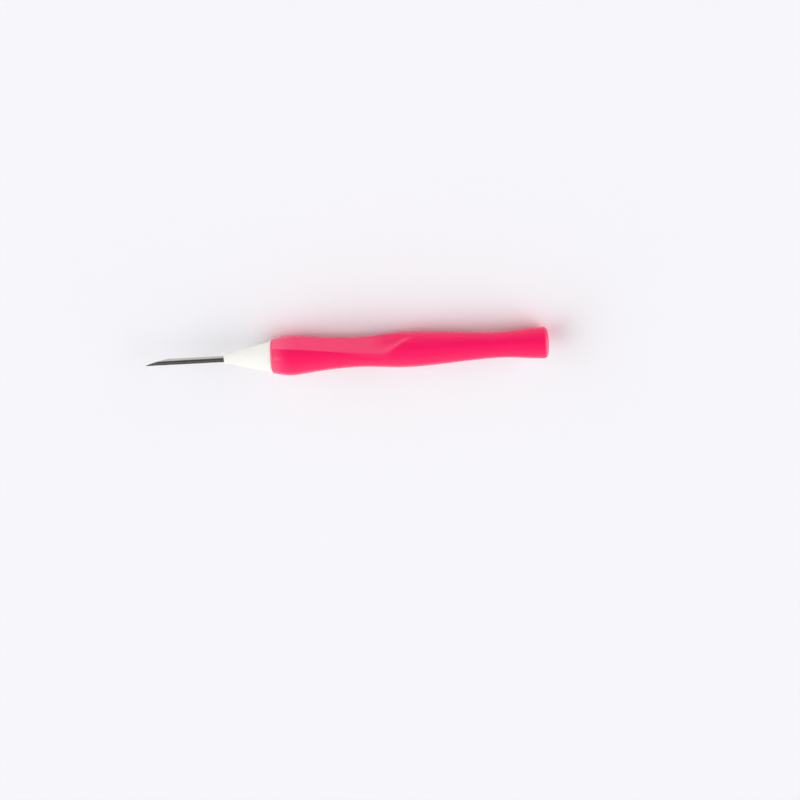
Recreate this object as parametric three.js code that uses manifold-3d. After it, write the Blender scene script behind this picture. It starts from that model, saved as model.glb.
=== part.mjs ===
// Punch needle: a hollow steel needle in a white push-fit hub, carried by a hollow pink handle.
// Millimetres, +Z up. The tool lies along X with the needle's tip towards -X, on one of its two
// finger flats. The origin is under the middle of its axis, on the surface that it lies on.

import * as THREE from 'three';
import { mergeVertices } from 'three/addons/utils/BufferGeometryUtils.js';
import Module from 'manifold-3d';

const wasm = await Module();
wasm.setup();

// Needle
const needleDiameter = 1.95;
const needleWall = 0.25;
const needleReach = 24.5; // from the nose of the hub to the tip
const needleSeat = 20; // length held inside the hub
const bevelLength = 7.2;
const bevelHookRun = 1.5; // the bevel is steeper over this length behind the tip
const bevelHookRise = 0.72;
const eyeFromTip = 4.1;
const eyeLength = 1.3;
const eyeWidth = 0.8;

// Hub
const noseLength = 14.7;
const noseTipDiameter = 3.0;
const noseThroatDiameter = 3.5;
const noseThroatAt = 2.4; // where the nose starts to widen, from its front
const noseBaseDiameter = 9.6;
const noseFullness = 0.3; // how far the side of the nose bows out from a straight cone
const noseEdge = 0.15;
const spigotLength = 15;
const spigotDiameter = 5.6;
const spigotLead = 0.8;
const ribCount = 4;
const ribHeight = 0.25;
const ribRoot = 0.4;
const ribWidth = 0.8;
const ribFrontGap = 2; // from the shoulder to the ribs
const ribRearGap = 2.5; // from the ribs to the end of the spigot
const funnelThroatDiameter = 1.5;

// Handle. Places along it are shares of its length, from its front rim to its tail.
const handleLength = 85.2;
const rimDiameter = 10.4;
const swellPlace = 0.073;
const swellDiameter = 12.35;
const waistPlace = 0.309;
const waistDiameter = 9.2;
const bellyPlace = 0.493;
const bellyDiameter = 10.87;
const neckPlace = 0.831;
const neckDiameter = 8.0;
const tailDiameter = 9.9;
const swellSkew = 0.7; // below 1, the outline turns faster near the front of a stretch
const rimEdge = 0.7;
const tailEdge = 1.3;
const threadBoreDiameter = 3.6;
const tailMouthBevel = 0.5;

// The two finger flats, one on each side of a ridge that is left between them
const flatTurn = THREE.MathUtils.degToRad(52); // from the ridge to the middle of a flat
const edgeHeightAtRim = 2.25; // height of a flat's lower edge above the axis, towards the ridge
const edgeHeightAtHeel = -1.35;
const heelPastWaist = 8.6; // where the lower edge ends and the crescent begins
const covePastWaist = 5.7; // where the flat starts to rise to the crescent
const crescentLean = 1.9; // run of the crescent along the handle for each mm across it
const crescentTipRound = 0.4; // how much its far tip, at the flat's middle, is rounded
const coveLift = 0.1; // least rise of the flat outside the body, which keeps it clear there
const flatOverrun = 2;

// How finely curved faces are divided
const ringSpacing = 1.7;
const flatSpacing = 1.5;
const acrossSpacing = 0.9;
const edgeSteps = 3;
const noseSteps = 8;
const bevelSteps = 10;
const handleSides = 40;
const hubSides = 40;
const needleSides = 24;
const eyeSides = 16;

// Clearances
const needleClearance = 0.05;
const needleEndGap = 0.1;
const socketClearance = 0.08;
const socketEndGap = 0.5;

// Sizes and places that follow
const features = [
  { at: 0, radius: rimDiameter / 2, skew: 1 },
  { at: handleLength * swellPlace, radius: swellDiameter / 2, skew: swellSkew },
  { at: handleLength * waistPlace, radius: waistDiameter / 2, skew: swellSkew },
  { at: handleLength * bellyPlace, radius: bellyDiameter / 2, skew: 1 },
  { at: handleLength * neckPlace, radius: neckDiameter / 2, skew: 1 },
  { at: handleLength, radius: tailDiameter / 2, skew: 1 },
];
const waistAt = handleLength * waistPlace;
const toolLength = needleReach + noseLength + handleLength;
const tipX = -toolLength / 2;
const noseX = tipX + needleReach;
const rimX = noseX + noseLength;
const restTurn = flatTurn - Math.PI / 2; // turns the tool until one flat faces straight down
const socketRadius = spigotDiameter / 2 + ribHeight + socketClearance;
const socketDepth = spigotLength + socketEndGap;

const materials = {
  handle: new THREE.MeshStandardMaterial({ name: 'pink_plastic', color: 0xfb2c68, roughness: 0.28 }),
  hub: new THREE.MeshStandardMaterial({ name: 'white_plastic', color: 0xf6f4ec, roughness: 0.4 }),
  needle: new THREE.MeshStandardMaterial({
    name: 'steel', color: 0xb4b5b0, roughness: 0.25, metalness: 1,
  }),
};

// A solid for cutting and joining, from a closed geometry.
function solidOf(geometry) {
  const bare = geometry.clone();
  bare.deleteAttribute('normal');
  bare.deleteAttribute('uv');
  const merged = mergeVertices(bare);
  return new wasm.Manifold(new wasm.Mesh({
    numProp: 3,
    vertProperties: merged.attributes.position.array,
    triVerts: Uint32Array.from(merged.index.array),
  }));
}

// A named piece of the tool, from a solid.
function piece(name, solid, material) {
  const { vertProperties, triVerts } = solid.getMesh();
  const geometry = new THREE.BufferGeometry();
  geometry.setAttribute('position', new THREE.BufferAttribute(vertProperties, 3));
  geometry.setIndex(new THREE.BufferAttribute(triVerts, 1));
  geometry.computeVertexNormals();
  const mesh = new THREE.Mesh(geometry, material);
  mesh.name = name;
  return mesh;
}

// A solid turned round the tool's axis, from [distance along the axis, radius] points.
// The outline closes on itself and runs forwards along its outer side.
function turned(outline, startX, sides) {
  const points = outline.map(([along, radius]) => new THREE.Vector2(radius, startX + along));
  points.push(points[0].clone());
  const geometry = new THREE.LatheGeometry(points, sides);
  geometry.rotateZ(-Math.PI / 2);
  return solidOf(geometry);
}

// Points of a quarter round between two directions, given in degrees from the outward direction
// towards the tail, about a centre given as [along, radius].
function quarter([along, radius], size, fromAngle, toAngle) {
  return Array.from({ length: edgeSteps + 1 }, (_, i) => {
    const angle = THREE.MathUtils.degToRad(fromAngle + ((toAngle - fromAngle) * i) / edgeSteps);
    return [along + size * Math.sin(angle), radius + size * Math.cos(angle)];
  });
}

// The handle's radius at a distance from its rim, before the flats are cut.
function bodyRadius(along) {
  const next = features.findIndex((feature) => feature.at >= along);
  if (next === 0) return features[0].radius;
  if (next === -1) return features.at(-1).radius;
  const from = features[next - 1];
  const to = features[next];
  const part = ((along - from.at) / (to.at - from.at)) ** to.skew;
  return THREE.MathUtils.lerp(from.radius, to.radius, THREE.MathUtils.smoothstep(part, 0, 1));
}

// Where a flat's lower edge lies, as an angle round the axis from the ridge. Seen from the side
// the edge is a straight line.
function edgeAngle(along) {
  const part = along / (waistAt + heelPastWaist);
  const height = THREE.MathUtils.lerp(edgeHeightAtRim, edgeHeightAtHeel, part);
  const radius = bodyRadius(along);
  return Math.acos(THREE.MathUtils.clamp(height / radius, -1, 1));
}

// The height of a flat above the axis at a place along the handle and across the flat. It is
// level across, and behind the waist it curls up to meet the body in a crescent that runs back
// from both edges of the flat to a tip at its middle.
function flatHeight(along, across) {
  const radius = bodyRadius(along);
  const floor = radius * Math.cos(edgeAngle(along) - flatTurn);
  const coveStart = waistAt + covePastWaist;
  if (along <= coveStart) return floor;
  const heel = waistAt + heelPastWaist;
  const heelAcross = bodyRadius(heel) * Math.sin(edgeAngle(heel) - flatTurn);
  const halfWidth = Math.hypot(heelAcross, crescentTipRound);
  const inward = Math.max(halfWidth - Math.hypot(across, crescentTipRound), 0);
  const crescent = heel + crescentLean * inward;
  const body = Math.sqrt(Math.max(radius ** 2 - across ** 2, 0));
  const rise = ((along - coveStart) / (crescent - coveStart)) ** 2;
  return floor + Math.max(body - floor, coveLift) * rise;
}

// The block that is cut away for one flat. Its underside is the flat.
function flatCutter(side) {
  const reach = swellDiameter;
  const length = handleLength * bellyPlace + reach / 2 + flatOverrun;
  const block = new THREE.BoxGeometry(
    length, reach, reach, Math.round(length / flatSpacing), 1, Math.round(reach / acrossSpacing),
  );
  block.translate(length / 2 - flatOverrun, reach / 2, 0);
  const places = block.attributes.position;
  for (let i = 0; i < places.count; i += 1) {
    if (places.getY(i) < reach / 2) {
      places.setY(i, flatHeight(places.getX(i), places.getZ(i) * side));
    }
  }
  block.rotateX(flatTurn * side);
  block.translate(rimX, 0, 0);
  return solidOf(block);
}

function handle() {
  const tailEdgeAt = handleLength - tailEdge;
  const middle = [];
  for (let next = 1; next < features.length; next += 1) {
    const start = features[next - 1].at;
    const length = features[next].at - start;
    const rings = Math.ceil(length / ringSpacing);
    for (let i = 0; i < rings; i += 1) {
      const along = start + (length * i) / rings;
      if (along > rimEdge && along < tailEdgeAt) middle.push([along, bodyRadius(along)]);
    }
  }
  const boreRadius = threadBoreDiameter / 2;
  const outline = [
    [0, socketRadius],
    ...quarter([rimEdge, bodyRadius(rimEdge) - rimEdge], rimEdge, -90, 0),
    ...middle,
    ...quarter([tailEdgeAt, bodyRadius(tailEdgeAt) - tailEdge], tailEdge, 0, 90),
    [handleLength, boreRadius + tailMouthBevel],
    [handleLength - tailMouthBevel, boreRadius],
    [socketDepth, boreRadius],
    [socketDepth, socketRadius],
  ];
  const body = turned(outline, rimX, handleSides);
  return piece('handle', body.subtract(flatCutter(1)).subtract(flatCutter(-1)), materials.handle);
}

// One of the ribs that grip the socket, as a block along the spigot. It starts in the spigot's wall.
function spigotRib(turn) {
  const length = spigotLength - ribFrontGap - ribRearGap;
  const height = ribHeight + ribRoot;
  const rib = new THREE.BoxGeometry(length, height, ribWidth);
  rib.translate(rimX + ribFrontGap + length / 2, spigotDiameter / 2 - ribRoot + height / 2, 0);
  rib.rotateX(turn);
  return solidOf(rib);
}

function needleHub() {
  const noseSide = new THREE.QuadraticBezierCurve(
    new THREE.Vector2(noseThroatAt, noseThroatDiameter / 2),
    new THREE.Vector2(
      (noseThroatAt + noseLength) / 2,
      (noseThroatDiameter + noseBaseDiameter) / 4 + noseFullness,
    ),
    new THREE.Vector2(noseLength - noseEdge, noseBaseDiameter / 2),
  );
  const boreRadius = needleDiameter / 2 + needleClearance;
  const boreEnd = needleSeat + needleEndGap;
  const hubLength = noseLength + spigotLength;
  const spigotRadius = spigotDiameter / 2;
  const outline = [
    [0, boreRadius],
    ...quarter([noseEdge, noseTipDiameter / 2 - noseEdge], noseEdge, -90, 0),
    ...noseSide.getPoints(noseSteps).map((point) => [point.x, point.y]),
    [noseLength, noseBaseDiameter / 2 - noseEdge],
    [noseLength, spigotRadius],
    [hubLength - spigotLead, spigotRadius],
    [hubLength, spigotRadius - spigotLead / 2],
    [hubLength, threadBoreDiameter / 2],
    [boreEnd, funnelThroatDiameter / 2],
    [boreEnd, boreRadius],
  ];
  let hub = turned(outline, noseX, hubSides);
  for (let i = 0; i < ribCount; i += 1) {
    hub = hub.add(spigotRib((i * 2 * Math.PI) / ribCount));
  }
  return piece('needle_hub', hub, materials.hub);
}

function needleTube() {
  const radius = needleDiameter / 2;
  const bore = radius - needleWall;
  const length = needleReach + needleSeat;
  const tube = turned([[0, bore], [0, radius], [length, radius], [length, bore]], tipX, needleSides);

  // Everything above the bevel, seen from the side: steep behind the tip, then a long slope.
  const above = new THREE.Shape();
  above.moveTo(tipX - radius, -radius);
  above.lineTo(tipX, -radius);
  above.quadraticCurveTo(tipX + bevelHookRun, bevelHookRise - radius, tipX + bevelLength, radius);
  above.lineTo(tipX + bevelLength, 2 * radius);
  above.lineTo(tipX - radius, 2 * radius);
  const bevel = new THREE.ExtrudeGeometry(above, {
    depth: 4 * radius, bevelEnabled: false, curveSegments: bevelSteps,
  });
  bevel.translate(0, 0, -2 * radius);

  // The eye, through the wall that the bevel leaves standing.
  const eye = new THREE.CylinderGeometry(eyeWidth / 2, eyeWidth / 2, radius, eyeSides);
  eye.scale(eyeLength / eyeWidth, 1, 1);
  eye.translate(tipX + eyeFromTip, -radius, 0);
  return piece('needle', tube.subtract(solidOf(bevel)).subtract(solidOf(eye)), materials.needle);
}

const punchNeedle = new THREE.Group();
punchNeedle.name = 'punch_needle';
punchNeedle.add(handle());
punchNeedle.add(needleHub());
punchNeedle.add(needleTube());

// The pieces are made with their axis on X and the ridge along +Y. Here the whole tool is laid
// on the flat that the turn brings underneath.
for (const { geometry } of punchNeedle.children) geometry.rotateX(restTurn);
const lowest = new THREE.Box3().setFromObject(punchNeedle).min.z;
for (const { geometry } of punchNeedle.children) geometry.translate(0, 0, -lowest);

export default punchNeedle;
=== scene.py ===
# %% [markdown]
# # A punch needle
#
# A punch needle pushes loops of thread through cloth. This one has three pieces: a hollow steel
# needle with a slanted tip, a white plastic hub that holds it, and a hollow pink plastic handle
# with two finger flats. The thread enters at the tail and runs through all three.
#
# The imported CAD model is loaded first, as a fixed frame. It gives the places of the pieces, and
# everything made here starts from them.

import math

import bmesh
import bpy
from mathutils import Matrix, Vector


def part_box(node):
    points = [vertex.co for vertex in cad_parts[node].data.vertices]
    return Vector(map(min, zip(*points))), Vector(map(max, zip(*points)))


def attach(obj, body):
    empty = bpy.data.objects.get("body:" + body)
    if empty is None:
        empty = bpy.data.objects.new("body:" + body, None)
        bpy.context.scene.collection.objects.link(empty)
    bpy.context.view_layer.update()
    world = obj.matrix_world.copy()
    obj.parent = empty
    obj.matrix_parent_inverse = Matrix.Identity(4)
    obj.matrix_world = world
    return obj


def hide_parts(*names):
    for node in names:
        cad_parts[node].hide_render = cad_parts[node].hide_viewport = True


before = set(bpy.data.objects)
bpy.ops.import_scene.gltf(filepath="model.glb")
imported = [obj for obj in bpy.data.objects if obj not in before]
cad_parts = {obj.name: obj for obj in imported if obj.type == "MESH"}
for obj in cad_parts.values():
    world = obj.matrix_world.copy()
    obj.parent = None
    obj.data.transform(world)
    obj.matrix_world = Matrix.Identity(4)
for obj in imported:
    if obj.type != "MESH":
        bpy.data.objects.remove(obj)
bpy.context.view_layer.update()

# %% [markdown]
# ## One matrix lays every piece down
#
# Each piece is easiest to shape in millimetres with its axis on X and the ridge of the handle
# along +Y. The real tool lies on one of its flats, which is a turn of 38 degrees about its axis.
# One matrix does the turn, the lift to the height of the axis and the change to metres, and each
# finished mesh goes through it once. That keeps every object unturned at the origin.

# %% Places that the CAD model gives
MM = 0.001

# How far round the axis, from the ridge, each flat faces.
FLAT_TURN = math.radians(52)
rim_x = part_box("handle")[0][0] / MM
nose_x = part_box("needle_hub")[0][0] / MM
tip_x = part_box("needle")[0][0] / MM
hub_low, hub_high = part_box("needle_hub")
axis_height = (hub_low[2] + hub_high[2]) / 2

TURN_DOWN = Matrix.Rotation(FLAT_TURN - math.pi / 2, 4, "X")
LAY_DOWN = Matrix.Translation((0, 0, axis_height)) @ TURN_DOWN @ Matrix.Scale(MM, 4)
print("rim, nose and tip at x =", round(rim_x, 2), round(nose_x, 2), round(tip_x, 2), "mm")
print("axis", round(axis_height / MM, 3), "mm above the surface")


# %% [markdown]
# ## Helpers for turned pieces
#
# All three pieces are round, so they could be stacks of cylinders and cones. Drawing half of the
# cross-section and turning it about the axis gives one clean skin instead, inside and outside. One
# helper draws the closed outline, one turns it, and one rounds a corner of it.
#
# Every piece ends the same way: it is laid down, its faces are pointed outwards, it is shaded
# smooth with its real corners kept sharp, and it takes the place of its CAD node.

# %% Draw, turn and finish a piece
SHARP_FROM = math.radians(32)


def finished(bm, name, node, body):
    bmesh.ops.transform(bm, matrix=LAY_DOWN, space=Matrix.Identity(4), verts=bm.verts)
    bmesh.ops.recalc_face_normals(bm, faces=bm.faces)
    mesh = bpy.data.meshes.new(name)
    bm.to_mesh(mesh)
    bm.free()
    mesh.shade_smooth()
    mesh.set_sharp_from_angle(angle=SHARP_FROM)
    piece = bpy.data.objects.new(name, mesh)
    bpy.context.scene.collection.objects.link(piece)
    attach(piece, body)
    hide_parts(node)
    print(name, len(mesh.polygons), "faces")
    return piece


# A closed outline in the XY plane, from [distance along the axis, radius] corners.
def outline(bm, corners):
    points = [bm.verts.new((along, radius, 0)) for along, radius in corners]
    for first, second in zip(points, points[1:] + points[:1]):
        bm.edges.new((first, second))
    return points


# A full turn of the outline about X.
def turn(bm, sides):
    bmesh.ops.spin(
        bm, geom=bm.verts[:] + bm.edges[:], cent=(0, 0, 0), axis=(1, 0, 0), dvec=(0, 0, 0),
        angle=2 * math.pi, steps=sides, use_merge=True,
    )


def round_corner(bm, corner, size, steps):
    bmesh.ops.bevel(
        bm, geom=[corner], affect="VERTICES", offset=size, offset_type="OFFSET",
        segments=steps, profile=0.5, material=-1,
    )


# %% [markdown]
# ## The handle's outline
#
# The handle swells just behind its rim, narrows to a waist for the finger and thumb, widens to a
# belly in the palm, and thins to a neck before a flared tail. It is hollow: a socket in front
# takes the hub, and a bore behind it takes the thread.
#
# Seven corners draw it. Four of them are rounded, the long edge between the rim and the tail is
# divided, and each new point moves out to the radius of the body at its place.

# %% The body's radius along the handle
HANDLE_LENGTH = 85.2
SWELL, WAIST, BELLY, NECK = 0.073, 0.309, 0.493, 0.831

# Each row is a share of the length, a diameter, and how early the change to it comes. A number
# below 1 brings it forward.
FEATURES = [
    (0, 10.4, 1),
    (SWELL, 12.35, 0.7),
    (WAIST, 9.2, 0.7),
    (BELLY, 10.87, 1),
    (NECK, 8.0, 1),
    (1, 9.9, 1),
]
WAIST_AT = HANDLE_LENGTH * WAIST
BELLY_AT = HANDLE_LENGTH * BELLY
RIM_EDGE = 0.7
TAIL_EDGE = 1.3
SOCKET_RADIUS = 3.13
SOCKET_DEPTH = 15.5
BORE_RADIUS = 1.8
MOUTH_BEVEL = 0.5


# An even ramp from 0 to 1 that starts and ends gently.
def smooth(part):
    part = min(max(part, 0), 1)
    return part * part * (3 - 2 * part)


def body_radius(along):
    for (start, thin, _), (end, thick, skew) in zip(FEATURES, FEATURES[1:]):
        start, end = start * HANDLE_LENGTH, end * HANDLE_LENGTH
        if along <= end:
            part = max(along - start, 0) / (end - start)
            return (thin + (thick - thin) * smooth(part**skew)) / 2
    return FEATURES[-1][1] / 2


print("waist", round(body_radius(WAIST_AT), 2), "belly", round(body_radius(BELLY_AT), 2), "mm radius")

# %% Draw and turn the handle
RINGS = 290
HANDLE_SIDES = 240
SOCKET_EDGE = 0.15
MOUTH_EDGE = 0.25

handle_bm = bmesh.new()
corners = outline(handle_bm, [
    (0, SOCKET_RADIUS),
    (0, body_radius(RIM_EDGE)),
    (HANDLE_LENGTH, body_radius(HANDLE_LENGTH - TAIL_EDGE)),
    (HANDLE_LENGTH, BORE_RADIUS + MOUTH_BEVEL),
    (HANDLE_LENGTH - MOUTH_BEVEL, BORE_RADIUS),
    (SOCKET_DEPTH, BORE_RADIUS),
    (SOCKET_DEPTH, SOCKET_RADIUS),
])
round_corner(handle_bm, corners[0], SOCKET_EDGE, 2)
round_corner(handle_bm, corners[1], RIM_EDGE, 8)
round_corner(handle_bm, corners[2], TAIL_EDGE, 12)
round_corner(handle_bm, corners[3], MOUTH_EDGE, 4)
longest = max(handle_bm.edges, key=lambda edge: edge.calc_length() * edge.verts[0].co.y)
cut = bmesh.ops.subdivide_edges(handle_bm, edges=[longest], cuts=RINGS)
for vert in cut["geom_inner"]:
    if isinstance(vert, bmesh.types.BMVert):
        vert.co.y = body_radius(vert.co.x)
turn(handle_bm, HANDLE_SIDES)
print("handle turned:", len(handle_bm.verts), "points")


# %% [markdown]
# ## The finger flats
#
# Two flats are cut into the front of the grip, one for the finger and one for the thumb, with a
# ridge left between them. Seen from the side each flat's lower edge is a straight line. Behind
# the waist the flat curls up and ends in a crescent.
#
# A boolean would cut them, but it leaves long thin faces that shade badly on a polished body.
# Here the turned surface is pressed down instead: a point that stands above the flat moves
# straight down onto it. A soft minimum rounds the edge where flat and body meet, like the small
# radius that a mould has there, and the radius grows towards the waist.

# %% Where the flat and its crescent lie
EDGE_AT_RIM = 2.25
EDGE_AT_HEEL = -1.35
HEEL_AT = WAIST_AT + 8.6
COVE_AT = WAIST_AT + 5.7
CRESCENT_LEAN = 1.9
CRESCENT_TIP_ROUND = 0.4


# The angle round the axis, from the ridge, at which the flat's lower edge lies.
def edge_angle(along):
    height = EDGE_AT_RIM + (EDGE_AT_HEEL - EDGE_AT_RIM) * along / HEEL_AT
    return math.acos(min(max(height / body_radius(along), -1), 1))


HEEL_ACROSS = body_radius(HEEL_AT) * math.sin(edge_angle(HEEL_AT) - FLAT_TURN)


# The crescent runs back from both edges of the flat to a rounded tip at its middle.
def crescent_at(across):
    half_width = math.hypot(HEEL_ACROSS, CRESCENT_TIP_ROUND)
    inward = max(half_width - math.hypot(across, CRESCENT_TIP_ROUND), 0)
    return HEEL_AT + CRESCENT_LEAN * inward


print("the crescent runs back from", round(HEEL_AT, 1), "to", round(crescent_at(0), 1), "mm")

# %% The height of a flat, and the soft minimum
COVE_LIFT = 0.1
LIP_CURL = 1.7
RUN_OUT = 3
RIDGE_SIDE = 1.2
CRISP_BLEND = 0.16
SOFT_BLEND = 0.3
BLEND_GROWS_FROM = 12
BLEND_GROWS_OVER = 12
RUN_OUT_CRISPER = 0.8


# Across is measured from the flat's middle, away from the ridge. On that side the cove ends in
# a lip, and on the ridge's side it runs out smoothly into the body.
def cove_rise(along, across):
    run = crescent_at(across) - COVE_AT
    lip = ((along - COVE_AT) / run) ** LIP_CURL
    part = (along - COVE_AT) / (run + RUN_OUT)
    run_out = smooth(part) + 2 * max(part - 1, 0)
    return lip + (run_out - lip) * smooth(-across / RIDGE_SIDE)


def flat_height(along, across):
    radius = body_radius(along)
    floor = radius * math.cos(edge_angle(along) - FLAT_TURN)
    if along <= COVE_AT:
        return floor
    body = math.sqrt(max(radius**2 - across**2, 0))
    return floor + max(body - floor, COVE_LIFT) * cove_rise(along, across)


def edge_blend(along, across):
    beside = CRISP_BLEND + SOFT_BLEND * smooth((along - BLEND_GROWS_FROM) / BLEND_GROWS_OVER)
    if along <= COVE_AT:
        return beside
    return beside * (1 - RUN_OUT_CRISPER * smooth(-across / RIDGE_SIDE))


# The smaller of two heights, rounded where they are within the blend of each other.
def soft_min(first, second, blend):
    share = min(max(0.5 + 0.5 * (second - first) / blend, 0), 1)
    return second + (first - second) * share - blend * share * (1 - share)


print("flat at the waist", round(flat_height(WAIST_AT, 0), 2), "mm from the axis")

# %% [markdown]
# ### Where the flats have grain, and where light and shade are painted
#
# The flats have a fine grain, and so has the ridge between them. The grain's edge is crisp near
# the rim and soft towards the heel. The same number also carries painted light and shade, as a
# paler or deeper pink. In the cove behind the flat the grain and its pale tint are taken away,
# from the middle to the ridge, and the deeper pink there is painted shade in the hollow. The lip
# of the crescent keeps its pale tint below the middle as a painted highlight, and it fades out
# over the body behind it. The edge of the tail and the rim get a pale tint too, a painted
# highlight, most of all on the rim's side away from the ridge.
#
# Paint could mark the grain, but a number on each point follows the flat without a picture. The
# material reads it as an attribute.

# %% How much grain, painted shade and painted highlight a place has
SOFTENS_FROM = 16
SOFTENS_OVER = 12
CRISP_FADE = 0.15
SOFT_FADE = 1.4
SOFT_OVERLAP = 0.8
COVE_PAINTED_SHADE = 0.85
COVE_SHADE_STARTS = 2
COVE_SHADE_GROWS_OVER = 5.6
COVE_SHADE_STOPS_ACROSS = 2.5
COVE_SHADE_FADES_ACROSS = 2.4
LIP_HIGHLIGHT_WIDTH = 3.4
LIP_HIGHLIGHT_STARTS_OVER = 1.8
LIP_FADE = 2.4
LIP_FADE_OVER = 3.6
LIP_HIGHLIGHT_STARTS_ACROSS = 1
LIP_HIGHLIGHT_GROWS_ACROSS = 1.4


def grain_with_painted_light_at(along, across):
    softness = smooth((along - SOFTENS_FROM) / SOFTENS_OVER)
    half_width = body_radius(along) * math.sin(edge_angle(along) - FLAT_TURN)
    inside = half_width + SOFT_OVERLAP * softness - across
    beside = smooth(inside / (CRISP_FADE + SOFT_FADE * softness) + 0.1)
    to_crest = crescent_at(across) - along
    behind = smooth((to_crest + LIP_FADE) / LIP_FADE_OVER)
    # In the cove the pale tint is taken away, from the middle to the ridge: painted shade in the
    # hollow.
    shade_grows = smooth((along - COVE_AT + COVE_SHADE_STARTS) / COVE_SHADE_GROWS_OVER)
    painted_cove_shade = COVE_PAINTED_SHADE * shade_grows * smooth((COVE_SHADE_STOPS_ACROSS - across) / COVE_SHADE_FADES_ACROSS)
    # The lip of the crescent keeps the pale tint below the middle: a painted highlight along its
    # edge.
    lip = smooth((LIP_HIGHLIGHT_WIDTH - to_crest) / LIP_HIGHLIGHT_STARTS_OVER)
    lip *= smooth((across + LIP_HIGHLIGHT_STARTS_ACROSS) / LIP_HIGHLIGHT_GROWS_ACROSS)
    return beside * behind * smooth(along / RIM_EDGE) * max(1 - painted_cove_shade, lip)


print("grain at the waist", grain_with_painted_light_at(WAIST_AT, 0), "in the cove", round(grain_with_painted_light_at(HEEL_AT, 0), 2))

# %% Press the flats into the handle
GRIP_END = HANDLE_LENGTH / 2 + 8
LEAST_HEIGHT = 1
OUTER_SKIN = SOCKET_RADIUS + 0.2
# One number per point: the grain, with the painted shade and painted highlights that ride on it.
grain_plus_painted_light = handle_bm.verts.layers.float.new("grain_plus_painted_light")
pressed = 0
for side in (1, -1):
    facing = Vector((0, math.cos(FLAT_TURN), side * math.sin(FLAT_TURN)))
    across_way = Vector((0, -math.sin(FLAT_TURN), side * math.cos(FLAT_TURN)))
    for vert in handle_bm.verts:
        radius = math.hypot(vert.co.y, vert.co.z)
        height = vert.co.dot(facing)
        if radius < OUTER_SKIN or height < LEAST_HEIGHT or vert.co.x > GRIP_END:
            continue
        along, across = vert.co.x, vert.co.dot(across_way)
        target = flat_height(along, across)
        blend = edge_blend(along, across)
        depth = height - target
        if depth > -blend:
            vert.co += facing * (soft_min(height, target, blend) - height)
            pressed += 1
        vert[grain_plus_painted_light] = max(vert[grain_plus_painted_light], grain_with_painted_light_at(along, across))
print("points pressed onto the flats:", pressed)

# %% Paint a pale highlight on the tail's edge and the rim
TAIL_PAINTED_HIGHLIGHT = 0.7
TAIL_HIGHLIGHT_FROM = HANDLE_LENGTH - TAIL_EDGE - 0.3
TAIL_HIGHLIGHT_OVER = 0.8
RIM_PAINTED_HIGHLIGHT = 0.45
RIM_HIGHLIGHT_AWAY_FROM_RIDGE = 0.9
RIM_HIGHLIGHT_LENGTH = 7
RIM_HIGHLIGHT_FALL = 1.7
RIM_HIGHLIGHT_SIDE_SPAN = 1.5
HIGHLIGHT_OUTSIDE = BORE_RADIUS + 2
painted_paler = 0
for vert in handle_bm.verts:
    if math.hypot(vert.co.y, vert.co.z) > HIGHLIGHT_OUTSIDE:
        # A paler, rougher tint on the tail's edge and the rim, strongest on the rim's side away from
        # the ridge: a painted highlight.
        tail_highlight = TAIL_PAINTED_HIGHLIGHT * smooth((vert.co.x - TAIL_HIGHLIGHT_FROM) / TAIL_HIGHLIGHT_OVER)
        rim_highlight = RIM_PAINTED_HIGHLIGHT + (RIM_HIGHLIGHT_AWAY_FROM_RIDGE - RIM_PAINTED_HIGHLIGHT) * smooth(-vert.co.y / RIM_HIGHLIGHT_SIDE_SPAN)
        rim_highlight *= max(1 - vert.co.x / RIM_HIGHLIGHT_LENGTH, 0) ** RIM_HIGHLIGHT_FALL
        painted_paler += max(rim_highlight, tail_highlight) > vert[grain_plus_painted_light]
        vert[grain_plus_painted_light] = max(vert[grain_plus_painted_light], rim_highlight, tail_highlight)
print("points rubbed duller:", painted_paler)

# %% Place the handle
bmesh.ops.translate(handle_bm, vec=(rim_x, 0, 0), verts=handle_bm.verts)
handle = finished(handle_bm, "handle_body", "handle", "handle")

# %% [markdown]
# ## The hub
#
# The white hub is a cone with slightly bowed sides and a short straight nose. Behind its shoulder
# a spigot goes into the handle, and four ribs on it grip the socket. Inside, a bore holds the
# needle and a funnel behind it guides the thread.
#
# It is turned like the handle. The long side is divided and moved onto a bowed curve. Each rib
# could be extruded from the spigot, but a small bevelled block set into it keeps the round skin
# whole.

# %% Draw and turn the hub
NOSE_LENGTH = 14.7
NOSE_TIP_RADIUS = 1.5
NOSE_THROAT_AT = 2.4
NOSE_THROAT_RADIUS = 1.75
NOSE_BASE_RADIUS = 4.8
NOSE_FULLNESS = 0.3
NOSE_EDGE = 0.15
SPIGOT_LENGTH = 15
SPIGOT_RADIUS = 2.8
SPIGOT_LEAD = 0.8
NEEDLE_BORE = 1.025
NEEDLE_SEAT = 20.1
SEAT_HOLE = 0.75
NOSE_RINGS = 60
HUB_SIDES = 160

hub_bm = bmesh.new()
hub_length = NOSE_LENGTH + SPIGOT_LENGTH
corners = outline(hub_bm, [
    (0, NEEDLE_BORE),
    (0, NOSE_TIP_RADIUS),
    (NOSE_THROAT_AT, NOSE_THROAT_RADIUS),
    (NOSE_LENGTH, NOSE_BASE_RADIUS),
    (NOSE_LENGTH, SPIGOT_RADIUS),
    (hub_length - SPIGOT_LEAD, SPIGOT_RADIUS),
    (hub_length, SPIGOT_RADIUS - SPIGOT_LEAD / 2),
    (hub_length, BORE_RADIUS),
    (NEEDLE_SEAT, SEAT_HOLE),
    (NEEDLE_SEAT, NEEDLE_BORE),
])
round_corner(hub_bm, corners[1], NOSE_EDGE, 4)
round_corner(hub_bm, corners[3], NOSE_EDGE, 4)
longest = max(hub_bm.edges, key=lambda edge: edge.calc_length() * edge.verts[0].co.y)
cone_start, cone_end = sorted(vert.co.x for vert in longest.verts)
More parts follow.
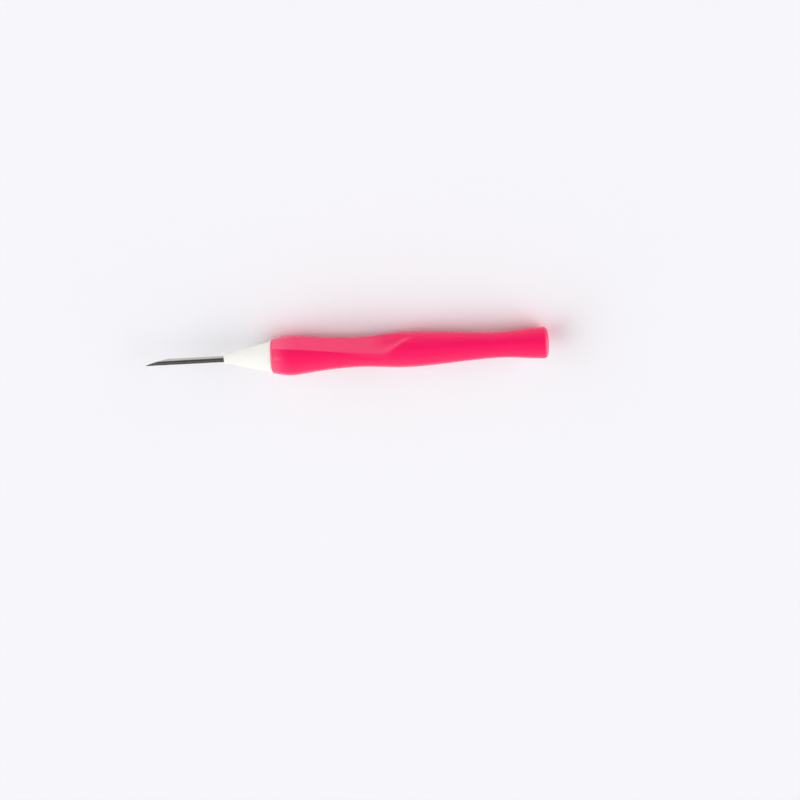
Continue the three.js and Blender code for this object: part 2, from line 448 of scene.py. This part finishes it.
cut = bmesh.ops.subdivide_edges(hub_bm, edges=[longest], cuts=NOSE_RINGS)
for vert in cut["geom_inner"]:
    if isinstance(vert, bmesh.types.BMVert):
        part = (vert.co.x - cone_start) / (cone_end - cone_start)
        vert.co.y += 2 * part * (1 - part) * NOSE_FULLNESS
turn(hub_bm, HUB_SIDES)
print("hub turned:", len(hub_bm.verts), "points")

# %% Add the ribs and place the hub
RIBS = 4
RIB_SIZE = (10.5, 0.65, 0.8)
RIB_AT = NOSE_LENGTH + 7.25
RIB_SUNK = 0.075
RIB_EDGE = 0.08
for number in range(RIBS):
    rib = bmesh.ops.create_cube(hub_bm, size=1)["verts"]
    bmesh.ops.scale(hub_bm, vec=RIB_SIZE, verts=rib)
    bmesh.ops.translate(hub_bm, vec=(RIB_AT, SPIGOT_RADIUS - RIB_SUNK, 0), verts=rib)
    edges = list({edge for vert in rib for edge in vert.link_edges})
    rounded = bmesh.ops.bevel(
        hub_bm, geom=edges, affect="EDGES", offset=RIB_EDGE, offset_type="OFFSET",
        segments=2, profile=0.5, material=-1,
    )
    whole = {vert for face in rounded["faces"] for vert in face.verts}
    whole |= {other for vert in whole for edge in vert.link_edges for other in edge.verts}
    bmesh.ops.rotate(
        hub_bm, cent=(0, 0, 0), matrix=Matrix.Rotation(number * 2 * math.pi / RIBS, 3, "X"),
        verts=list(whole),
    )
bmesh.ops.translate(hub_bm, vec=(nose_x, 0, 0), verts=hub_bm.verts)
hub = finished(hub_bm, "hub_body", "needle_hub", "needle_head")

# %% [markdown]
# ## The needle
#
# The needle is a drawn steel tube. Its tip is ground to a slant, steeper just behind the point,
# and an eye is pierced through the wall that the slant leaves standing.
#
# The tube is a turned wall. Its front ring slides back onto the ground curve, which a boolean
# would also give, but sliding leaves clean edges that a bevel can dull. The eye is cut by a
# boolean, because a hole in a curved wall has no simple ring to slide.

# %% The curve that the tip is ground to
NEEDLE_RADIUS = 0.975
NEEDLE_WALL = 0.25
NEEDLE_LENGTH = 44.5
BEVEL_LENGTH = 7.2
HOOK_RUN = 1.5
HOOK_RISE = 0.72
NEEDLE_SIDES = 128
HALVINGS = 40


# How far behind the tip the ground curve lies, at a height across the tube. The curve is a Bezier
# arc with three control points, and the height is found on it by halving.
def ground_at(height):
    low, high = 0.0, 1.0
    for _ in range(HALVINGS):
        t = (low + high) / 2
        rise = -NEEDLE_RADIUS + 2 * t * (1 - t) * HOOK_RISE + 2 * t * t * NEEDLE_RADIUS
        if rise < height:
            low = t
        else:
            high = t
    return 2 * t * (1 - t) * HOOK_RUN + t * t * BEVEL_LENGTH


print("ground from", round(ground_at(-NEEDLE_RADIUS), 2), "to", round(ground_at(NEEDLE_RADIUS), 2))

# %% Turn the tube and grind its tip
TIP_DULLING = 0.03
TINY = 0.001
SAME_RADIUS = 0.01
needle_bm = bmesh.new()
inside = NEEDLE_RADIUS - NEEDLE_WALL
outline(needle_bm, [(0, inside), (0, NEEDLE_RADIUS), (NEEDLE_LENGTH, NEEDLE_RADIUS),
                    (NEEDLE_LENGTH, inside)])
turn(needle_bm, NEEDLE_SIDES)
bmesh.ops.recalc_face_normals(needle_bm, faces=needle_bm.faces)
for vert in needle_bm.verts:
    if vert.co.x < TINY:
        vert.co.x = ground_at(vert.co.y)

# The edges to dull lie at the tip and run round the tube, so both ends have the same radius.
rims = [edge for edge in needle_bm.edges
        if all(vert.co.x < BEVEL_LENGTH + 0.1 for vert in edge.verts)
        and abs(math.hypot(edge.verts[0].co.y, edge.verts[0].co.z)
                - math.hypot(edge.verts[1].co.y, edge.verts[1].co.z)) < SAME_RADIUS]
bmesh.ops.bevel(
    needle_bm, geom=rims, affect="EDGES", offset=TIP_DULLING, offset_type="OFFSET",
    segments=2, profile=0.5, material=-1,
)
print("edges dulled at the tip:", len(rims))

# %% Place the needle
bmesh.ops.translate(needle_bm, vec=(tip_x, 0, 0), verts=needle_bm.verts)
needle = finished(needle_bm, "needle_tube", "needle", "needle_head")

# %% Pierce the eye
EYE_FROM_TIP = 4.1
EYE_LENGTH = 1.3
EYE_WIDTH = 0.8
EYE_SIDES = 48

eye_bm = bmesh.new()
bmesh.ops.create_cone(
    eye_bm, cap_ends=True, segments=EYE_SIDES, radius1=EYE_WIDTH / 2, radius2=EYE_WIDTH / 2,
    depth=NEEDLE_RADIUS,
)
bmesh.ops.rotate(eye_bm, cent=(0, 0, 0), matrix=Matrix.Rotation(math.pi / 2, 3, "X"),
                 verts=eye_bm.verts)
bmesh.ops.scale(eye_bm, vec=(EYE_LENGTH / EYE_WIDTH, 1, 1), verts=eye_bm.verts)
bmesh.ops.translate(eye_bm, vec=(tip_x + EYE_FROM_TIP, -NEEDLE_RADIUS, 0), verts=eye_bm.verts)
bmesh.ops.transform(eye_bm, matrix=LAY_DOWN, space=Matrix.Identity(4), verts=eye_bm.verts)
eye_mesh = bpy.data.meshes.new("eye_cutter")
eye_bm.to_mesh(eye_mesh)
eye_bm.free()
eye = bpy.data.objects.new("eye_cutter", eye_mesh)
bpy.context.scene.collection.objects.link(eye)

pierce = needle.modifiers.new("Pierce the eye", "BOOLEAN")
pierce.operation = "DIFFERENCE"
pierce.solver = "EXACT"
pierce.object = eye
bpy.context.view_layer.update()
pierced = bpy.data.meshes.new_from_object(
    needle.evaluated_get(bpy.context.evaluated_depsgraph_get())
)
needle.modifiers.clear()
needle.data = pierced
bpy.data.objects.remove(eye)
print("needle with its eye:", len(pierced.polygons), "faces")

# %% [markdown]
# ## Materials
#
# One function turns a hex colour into the linear values that the shader wants, and one adds a
# node with its settings and links.


# %% Colour and node helpers
def linear(hex_colour):
    values = [int(hex_colour[i:i + 2], 16) / 255 for i in (1, 3, 5)]
    return [v / 12.92 if v <= 0.04045 else ((v + 0.055) / 1.055) ** 2.4 for v in values] + [1]


def add(material, kind, sockets, **settings):
    made = material.node_tree.nodes.new(kind)
    for name, value in settings.items():
        setattr(made, name, value)
    for name, value in sockets.items():
        if isinstance(value, bpy.types.NodeSocket):
            material.node_tree.links.new(value, made.inputs[name])
        else:
            made.inputs[name].default_value = value
    return made


def new_material(name):
    material = bpy.data.materials.new(name)
    material.use_nodes = True
    material.node_tree.nodes.clear()
    return material


# %% [markdown]
# ### Moulded pink ABS
#
# The handle is injection moulded in pink ABS. Its body comes from a polished mould, so it mirrors
# the room softly. The finger flats come from a part of the mould with a fine grain. Where the
# attribute is high the base colour is a paler pink: partly the grain's own look, partly a painted
# sheen. Beside the rim it is palest, a painted highlight. The same attribute carries the painted
# shade of the cove and the painted highlights of the lip, the tail's edge and the rim.
#
# Slow clouds 6 mm wide vary the colour, and the polish varies over 2 mm. The skin of a moulded
# piece has faint waves about 1.8 mm long. Real grain is finer than 0.1 mm and wouldn't show at all,
# so it is drawn at 0.35 mm.

# %% The handle's material
PALE_NEAR_RIM_LENGTH = 8
CLOUD_SIZE = 6 * MM
POLISH_PATCH = 2 * MM
GRAIN_SIZE = 0.35 * MM
GRAIN_DEPTH = 0.02 * MM
WAVE_LENGTH = 1.8 * MM
WAVE_DEPTH = 0.02 * MM
pink = new_material("moulded pink ABS")
place = add(pink, "ShaderNodeTexCoord", {}).outputs["Object"]
painted_light_and_grain = add(pink, "ShaderNodeAttribute", {}, attribute_name="grain_plus_painted_light").outputs["Fac"]
swirl = add(pink, "ShaderNodeTexNoise", {"Vector": place, "Scale": 1 / CLOUD_SIZE, "Detail": 2.0})
body_tint = add(pink, "ShaderNodeMix", {
    "Factor": swirl.outputs["Fac"], "A": linear("#FA195F"), "B": linear("#FE1D65"),
}, data_type="RGBA")
along_handle = add(pink, "ShaderNodeSeparateXYZ", {"Vector": place}).outputs["X"]
# Within 8 mm of the rim the pale tint grows paler still: a painted highlight.
pale_near_rim = add(pink, "ShaderNodeMapRange", {
    "Value": along_handle, "From Min": rim_x * MM, "From Max": (rim_x + PALE_NEAR_RIM_LENGTH) * MM,
    "To Min": 1.0, "To Max": 0.0,
})
# Paler pink where the attribute is high: partly the grain's own look, partly a painted sheen.
grain_and_sheen_tint = add(pink, "ShaderNodeMix", {
    "Factor": pale_near_rim.outputs["Result"], "A": linear("#FF3D72"), "B": linear("#FF5980"),
}, data_type="RGBA")
tint = add(pink, "ShaderNodeMix", {
    "Factor": painted_light_and_grain, "A": body_tint.outputs["Result"], "B": grain_and_sheen_tint.outputs["Result"],
}, data_type="RGBA")
haze = add(pink, "ShaderNodeTexNoise", {"Vector": place, "Scale": 1 / POLISH_PATCH, "Detail": 4.0})
polish = add(pink, "ShaderNodeMapRange", {
    "Value": haze.outputs["Fac"], "To Min": 0.1, "To Max": 0.16,
})
roughness = add(pink, "ShaderNodeMix", {
    "Factor": painted_light_and_grain, "A": polish.outputs["Result"], "B": 0.25,
}, data_type="FLOAT")
grain = add(pink, "ShaderNodeTexNoise", {"Vector": place, "Scale": 1 / GRAIN_SIZE, "Detail": 3.0})
grain_height = add(pink, "ShaderNodeMath", {0: grain.outputs["Fac"], 1: painted_light_and_grain},
                   operation="MULTIPLY")
grain_bump = add(pink, "ShaderNodeBump", {
    "Height": grain_height.outputs["Value"], "Strength": 0.4, "Distance": GRAIN_DEPTH,
})
waves = add(pink, "ShaderNodeTexNoise", {"Vector": place, "Scale": 1 / WAVE_LENGTH, "Detail": 1.0})
wave_bump = add(pink, "ShaderNodeBump", {
    "Height": waves.outputs["Fac"], "Normal": grain_bump.outputs["Normal"],
    "Strength": 0.1, "Distance": WAVE_DEPTH,
})
shader = add(pink, "ShaderNodeBsdfPrincipled", {
    "Base Color": tint.outputs["Result"], "Roughness": roughness.outputs["Result"],
    "IOR": 1.53, "Normal": wave_bump.outputs["Normal"],
})
add(pink, "ShaderNodeOutputMaterial", {"Surface": shader.outputs["BSDF"]})
handle.data.materials.append(pink)
print("handle material:", len(pink.node_tree.nodes), "nodes")

# %% [markdown]
# ### Moulded white nylon
#
# The hub is white nylon, tough enough to grip a steel tube. Nylon is never quite white or quite
# opaque: light goes a little way in, which softens the shading, and its surface has a soft sheen.
# Its colour drifts over 5 mm, and its skin has a texture of about 0.6 mm.

# %% The hub's material
DRIFT_SIZE = 5 * MM
SKIN_SIZE = 0.6 * MM
SKIN_DEPTH = 0.02 * MM
LIGHT_GOES_IN = 0.6 * MM
white = new_material("moulded white nylon")
place = add(white, "ShaderNodeTexCoord", {}).outputs["Object"]
cloud = add(white, "ShaderNodeTexNoise", {"Vector": place, "Scale": 1 / DRIFT_SIZE, "Detail": 2.0})
tint = add(white, "ShaderNodeMix", {
    "Factor": cloud.outputs["Fac"], "A": linear("#F2F0E9"), "B": linear("#F6F4EF"),
}, data_type="RGBA")
skin = add(white, "ShaderNodeTexNoise", {"Vector": place, "Scale": 1 / SKIN_SIZE, "Detail": 4.0})
sheen = add(white, "ShaderNodeMapRange", {
    "Value": skin.outputs["Fac"], "To Min": 0.28, "To Max": 0.4,
})
skin_bump = add(white, "ShaderNodeBump", {
    "Height": skin.outputs["Fac"], "Strength": 0.12, "Distance": SKIN_DEPTH,
})
shader = add(white, "ShaderNodeBsdfPrincipled", {
    "Base Color": tint.outputs["Result"], "Roughness": sheen.outputs["Result"], "IOR": 1.53,
    "Subsurface Weight": 0.15, "Subsurface Radius": (1, 0.9, 0.75),
    "Subsurface Scale": LIGHT_GOES_IN,
    "Normal": skin_bump.outputs["Normal"],
})
add(white, "ShaderNodeOutputMaterial", {"Surface": shader.outputs["BSDF"]})
hub.data.materials.append(white)
print("hub material:", len(white.node_tree.nodes), "nodes")

# %% [markdown]
# ### Drawn stainless steel
#
# The needle is stainless tube, drawn through a die and polished along its length. Fine lines run
# along it, and they stretch each highlight across the tube. They are under 0.01 mm apart on the
# real needle and are drawn at 0.08 mm, so that a close view shows them.

# %% The needle's material
LINE_WIDTH = 0.08 * MM
LINE_STRETCH = 0.02
LINE_DEPTH = 0.005 * MM
steel = new_material("drawn stainless steel")
place = add(steel, "ShaderNodeTexCoord", {}).outputs["Object"]
drawn_out = add(steel, "ShaderNodeMapping", {"Vector": place, "Scale": (LINE_STRETCH, 1, 1)})
lines = add(steel, "ShaderNodeTexNoise", {
    "Vector": drawn_out.outputs["Vector"], "Scale": 1 / LINE_WIDTH, "Detail": 2.0,
})
shine = add(steel, "ShaderNodeMapRange", {
    "Value": lines.outputs["Fac"], "To Min": 0.16, "To Max": 0.3,
})
line_bump = add(steel, "ShaderNodeBump", {
    "Height": lines.outputs["Fac"], "Strength": 0.15, "Distance": LINE_DEPTH,
})
shader = add(steel, "ShaderNodeBsdfPrincipled", {
    "Base Color": linear("#C9C7BF"), "Metallic": 1.0, "Roughness": shine.outputs["Result"],
    "Normal": line_bump.outputs["Normal"],
})
add(steel, "ShaderNodeOutputMaterial", {"Surface": shader.outputs["BSDF"]})
needle.data.materials.clear()
needle.data.materials.append(steel)
print("needle material:", len(steel.node_tree.nodes), "nodes")

# %% [markdown]
# ## The floor
#
# The flat that the tool lies on touches the surface just behind the rim. With the axis level, the
# belly would hang about a quarter of a millimetre above it, and a real tool tips until the belly
# touches too. The frame holds the tool, so the floor is tipped to meet both, by less than half a
# degree. A gap of 0.01 mm keeps its face apart from theirs.

# %% Lay the floor
FLOOR_REACH = 3
FLOOR_GAP = 0.01 * MM
FLAT_TOUCHES_AT = 5.5
swell_x = (rim_x + FLAT_TOUCHES_AT) * MM
belly_x = (rim_x + BELLY_AT) * MM
belly_gap = axis_height - body_radius(BELLY_AT) * MM
tip_angle = math.atan2(belly_gap, belly_x - swell_x)

floor_bm = bmesh.new()
bmesh.ops.create_grid(floor_bm, x_segments=1, y_segments=1, size=FLOOR_REACH)
bmesh.ops.rotate(floor_bm, cent=(0, 0, 0), matrix=Matrix.Rotation(-tip_angle, 3, "Y"),
                 verts=floor_bm.verts)
bmesh.ops.translate(floor_bm, vec=(swell_x, 0, -FLOOR_GAP), verts=floor_bm.verts)
floor_mesh = bpy.data.meshes.new("floor")
floor_bm.to_mesh(floor_mesh)
floor_bm.free()
floor = bpy.data.objects.new("floor", floor_mesh)
bpy.context.scene.collection.objects.link(floor)

paper = new_material("matt white paper")
shader = add(paper, "ShaderNodeBsdfPrincipled", {
    "Base Color": linear("#ECEBEF"), "Roughness": 0.9, "Specular IOR Level": 0.1,
})
add(paper, "ShaderNodeOutputMaterial", {"Surface": shader.outputs["BSDF"]})
floor.data.materials.append(paper)
print("floor tipped by", round(math.degrees(tip_angle), 2), "degrees")

# %% [markdown]
# ## The camera
#
# The tool is seen square to its axis, so the camera is first placed in the flat millimetre space
# of the pieces, straight above the axis, and then goes through the same turn as they did. The
# needle points left and the tail is three degrees higher.

# %% Place the camera
ROLL = math.radians(-2.96)
LENS = 58.3
SEEN_FROM = Vector((15.79, -15.43, 400))
camera_data = bpy.data.cameras.new("camera")
camera_data.sensor_width = 36
camera_data.lens = LENS
camera_data.clip_start = 0.01
camera_data.clip_end = 20
camera = bpy.data.objects.new("camera", camera_data)
bpy.context.scene.collection.objects.link(camera)
seen_from = LAY_DOWN @ SEEN_FROM
camera.matrix_world = (
    Matrix.Translation(seen_from) @ TURN_DOWN @ Matrix.Rotation(ROLL, 4, "Z")
)
bpy.context.scene.camera = camera
print("camera at", [round(n, 3) for n in seen_from])

# %% [markdown]
# ## The light
#
# The tool lies in a soft light tent. Polished plastic mirrors the tent, so its walls are planned
# by what they leave on the tool. Above, where the camera looks in, the tent is dark, and the body
# keeps a deep line along its middle. Towards the surface the walls are pale, and the body's sides
# turn pale with them. The two ends of the tent glow most. They light the whole length evenly, and
# only the rounded ends of the tool mirror them. A faint glow from the side nearest the camera
# lifts the body's lower side, and one small lamp, narrow and tall, leaves a spot of light beside
# the rim.

# %% The tent's walls and its glowing ends
tent = bpy.data.worlds.new("light tent")
bpy.context.scene.world = tent
tent.use_nodes = True
tent.node_tree.nodes.clear()
way = add(tent, "ShaderNodeTexCoord", {}).outputs["Generated"]
level = add(tent, "ShaderNodeMapping", {
    "Vector": way, "Rotation": (math.pi / 2 - FLAT_TURN, 0, 0),
}, vector_type="VECTOR")
parts = add(tent, "ShaderNodeSeparateXYZ", {"Vector": level.outputs["Vector"]})
walls = add(tent, "ShaderNodeMapRange", {
    "Value": parts.outputs["Z"], "From Min": 0.1, "From Max": 0.85,
    "To Min": 0.44, "To Max": 0.03,
})
below = add(tent, "ShaderNodeMapRange", {
    "Value": parts.outputs["Y"], "From Min": -0.25, "From Max": 0.05, "To Min": 0.12, "To Max": 0.0,
}, interpolation_type="SMOOTHSTEP")
sideways = add(tent, "ShaderNodeMath", {0: parts.outputs["X"]}, operation="ABSOLUTE")
ends = add(tent, "ShaderNodeMapRange", {
    "Value": sideways.outputs["Value"], "From Min": 0.4, "From Max": 0.8,
    "To Min": 0.0, "To Max": 2.4,
}, interpolation_type="SMOOTHSTEP")
share = add(tent, "ShaderNodeMapRange", {
    "Value": parts.outputs["Y"], "From Min": -0.6, "From Max": 0.6, "To Min": 1.15, "To Max": 1.22,
})
glow = add(tent, "ShaderNodeMath", {0: ends.outputs["Result"], 1: share.outputs["Result"]},
           operation="MULTIPLY")
print("walls, a glow from below and two ends:", len(tent.node_tree.nodes), "nodes")

# %% The small lamp, and the tent's whole light
LAMP_WAY = Vector((-0.515, -0.29, 0.81)).normalized()
LAMP_SIZE = (0.06, 0.17, 0.17)
aside = add(tent, "ShaderNodeVectorMath", {
    0: level.outputs["Vector"], 1: LAMP_WAY,
}, operation="SUBTRACT")
in_sizes = add(tent, "ShaderNodeVectorMath", {
    0: aside.outputs["Vector"], 1: [1 / size for size in LAMP_SIZE],
}, operation="MULTIPLY")
past_middle = add(tent, "ShaderNodeVectorMath", {0: in_sizes.outputs["Vector"]},
                  operation="LENGTH")
lamp = add(tent, "ShaderNodeMapRange", {
    "Value": past_middle.outputs["Value"], "From Min": 1.0, "From Max": 0.5,
    "To Min": 0.0, "To Max": 2.2,
}, interpolation_type="SMOOTHSTEP")
soft = add(tent, "ShaderNodeMath", {0: walls.outputs["Result"], 1: below.outputs["Result"]},
           operation="ADD")
bright = add(tent, "ShaderNodeMath", {0: glow.outputs["Value"], 1: lamp.outputs["Result"]},
             operation="ADD")
strength = add(tent, "ShaderNodeMath", {0: soft.outputs["Value"], 1: bright.outputs["Value"]},
               operation="ADD")
light = add(tent, "ShaderNodeBackground", {
    "Color": (1, 1, 1, 1), "Strength": strength.outputs["Value"],
})
add(tent, "ShaderNodeOutputWorld", {"Surface": light.outputs["Background"]})
bpy.context.scene.view_settings.view_transform = "Standard"
print("tent:", len(tent.node_tree.nodes), "nodes")

# %% [markdown]
# ## Two cards
#
# A polished piece in a white tent melts into the background, so a photographer stands cards
# beside it and it mirrors them. A dark grey card gives the needle a dark line along its lower
# side. A graduated card lies on the surface along the handle, pale beside it and darker away from
# it, and keeps the white surface out of the gloss of the handle's upper side. It glows a little,
# so that the handle's shadow doesn't show in it. The cards are met by mirrored rays only, so they
# can stand close without showing or throwing a shadow. Rays from a rough finish don't count as
# mirrored, so the grain's roughness on the flats is kept low enough to meet the cards too.

# %% A card
def card(name, along, across, foot, lean):
    bm = bmesh.new()
    bmesh.ops.create_grid(bm, x_segments=1, y_segments=1, size=0.5)
    bmesh.ops.scale(bm, vec=(along[1] - along[0], across, 1), verts=bm.verts)
    bmesh.ops.translate(bm, vec=(0, across / 2, 0), verts=bm.verts)
    bmesh.ops.rotate(bm, cent=(0, 0, 0), matrix=Matrix.Rotation(lean, 3, "X"), verts=bm.verts)
    bmesh.ops.translate(bm, vec=((along[0] + along[1]) / 2, *foot), verts=bm.verts)
    bmesh.ops.transform(bm, matrix=LAY_DOWN, space=Matrix.Identity(4), verts=bm.verts)
    mesh = bpy.data.meshes.new(name)
    bm.to_mesh(mesh)
    bm.free()
    stood = bpy.data.objects.new(name, mesh)
    bpy.context.scene.collection.objects.link(stood)
    stood.visible_camera = False
    stood.visible_diffuse = False
    stood.visible_transmission = False
    stood.visible_shadow = False
    board = new_material(name)
    mesh.materials.append(board)
    print(name, "stands from x =", round(along[0], 1), "to", round(along[1], 1), "mm")
    return board


# %% Stand the needle's card and lay the handle's
NEEDLE_CARD_LEAN = math.radians(97.4)
NEEDLE_CARD_RUN = (tip_x - 28, tip_x + 24)
NEEDLE_CARD_FOOT = (-18, -19)
NEEDLE_CARD_TALL = 68
HANDLE_CARD_RUN = (rim_x - 2, rim_x + 130)
HANDLE_CARD_DEEP = 300
CARD_LIFT = 1
CARD_STEP = 6
down = Vector((math.cos(FLAT_TURN), -math.sin(FLAT_TURN)))
outwards = Vector((math.sin(FLAT_TURN), math.cos(FLAT_TURN)))
beside_handle = down * (axis_height / MM - CARD_LIFT) + outwards * CARD_STEP

needle_card = card(
    "dark_grey_card", NEEDLE_CARD_RUN, NEEDLE_CARD_TALL, NEEDLE_CARD_FOOT, NEEDLE_CARD_LEAN,
)
shader = add(needle_card, "ShaderNodeBsdfPrincipled", {
    "Base Color": linear("#626262"), "Roughness": 1.0,
})
add(needle_card, "ShaderNodeOutputMaterial", {"Surface": shader.outputs["BSDF"]})

handle_card = card(
    "graduated_card", HANDLE_CARD_RUN, HANDLE_CARD_DEEP, beside_handle, math.pi / 2 - FLAT_TURN,
)
place = add(handle_card, "ShaderNodeTexCoord", {}).outputs["Object"]
away = add(handle_card, "ShaderNodeSeparateXYZ", {"Vector": place}).outputs["Y"]
grade = add(handle_card, "ShaderNodeMapRange", {
    "Value": away, "From Min": 8 * MM, "From Max": 32 * MM, "To Min": 0.52, "To Max": 0.17,
}, interpolation_type="SMOOTHSTEP")
lit = add(handle_card, "ShaderNodeEmission", {
    "Color": (1, 1, 1, 1), "Strength": grade.outputs["Result"],
})
add(handle_card, "ShaderNodeOutputMaterial", {"Surface": lit.outputs["Emission"]})
